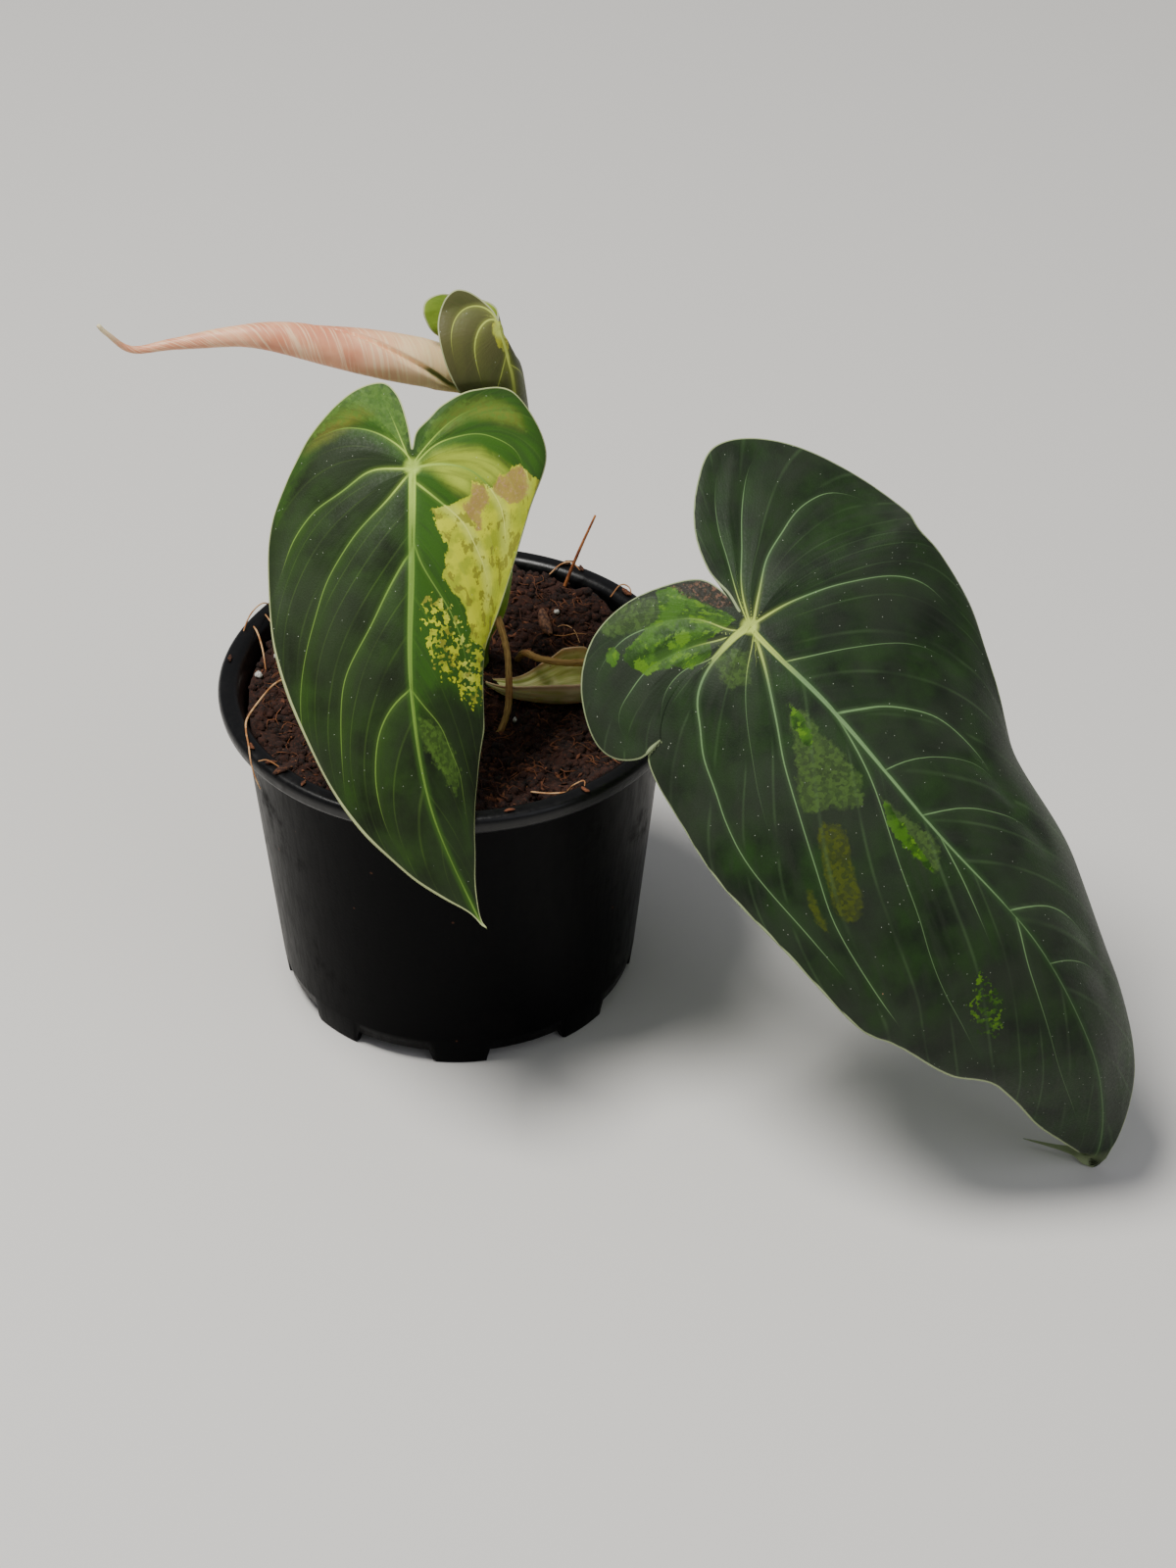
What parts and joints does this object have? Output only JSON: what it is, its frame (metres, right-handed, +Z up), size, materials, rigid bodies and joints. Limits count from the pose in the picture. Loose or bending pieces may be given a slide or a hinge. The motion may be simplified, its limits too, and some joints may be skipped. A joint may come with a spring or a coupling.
{
  "type": "potted variegated black gold philodendron",
  "caption": "Young climbing aroid in a black nursery pot: dark heart-shaped velvety leaves with pale veins and lime variegation, and a new leaf still rolled.",
  "frame": {"origin": "centre of the pot's base, on the surface that the pot stands on", "axes": "+Z up along the pot's axis, -Y towards the side that the plant faces, +X to the plant's right as seen from there"},
  "size_m": [0.2543, 0.1649, 0.1966],
  "materials": {
    "pot": "smooth moulded black plastic with a dull sheen and specks of dried dirt",
    "potting_mix": "moist crumbly peat and coir with short fibres and chips",
    "stem": "smooth green stem skin with a few rough brown patches",
    "petiole": "smooth green, faintly streaked lengthwise",
    "dark_blade": "velvety very dark green with pale raised-looking veins and lime patches",
    "green_blade": "satin mid green with pale green veins, half of it lime yellow",
    "new_growth": "smooth waxy pink and cream, paler at the point",
    "cataphyll": "thin papery pale green with fine lengthwise lines",
    "aerial_root": "dull ochre, slightly fuzzy",
    "coir": "dry orange-brown coconut fibre"
  },
  "bodies": {
    "root": {"pot": "pot", "potting_mix": "potting_mix", "stem": "stem", "petiole_right": "petiole", "petiole_front": "petiole", "petiole_small": "petiole", "petiole_new": "new_growth", "blade_right": "dark_blade", "blade_front": "green_blade", "blade_small": "green_blade", "blade_new": "new_growth", "cataphyll": "cataphyll", "aerial_root_hanging": "aerial_root", "aerial_root_lying": "aerial_root", "coir_bristle": "coir"}
  },
  "joints": []
}
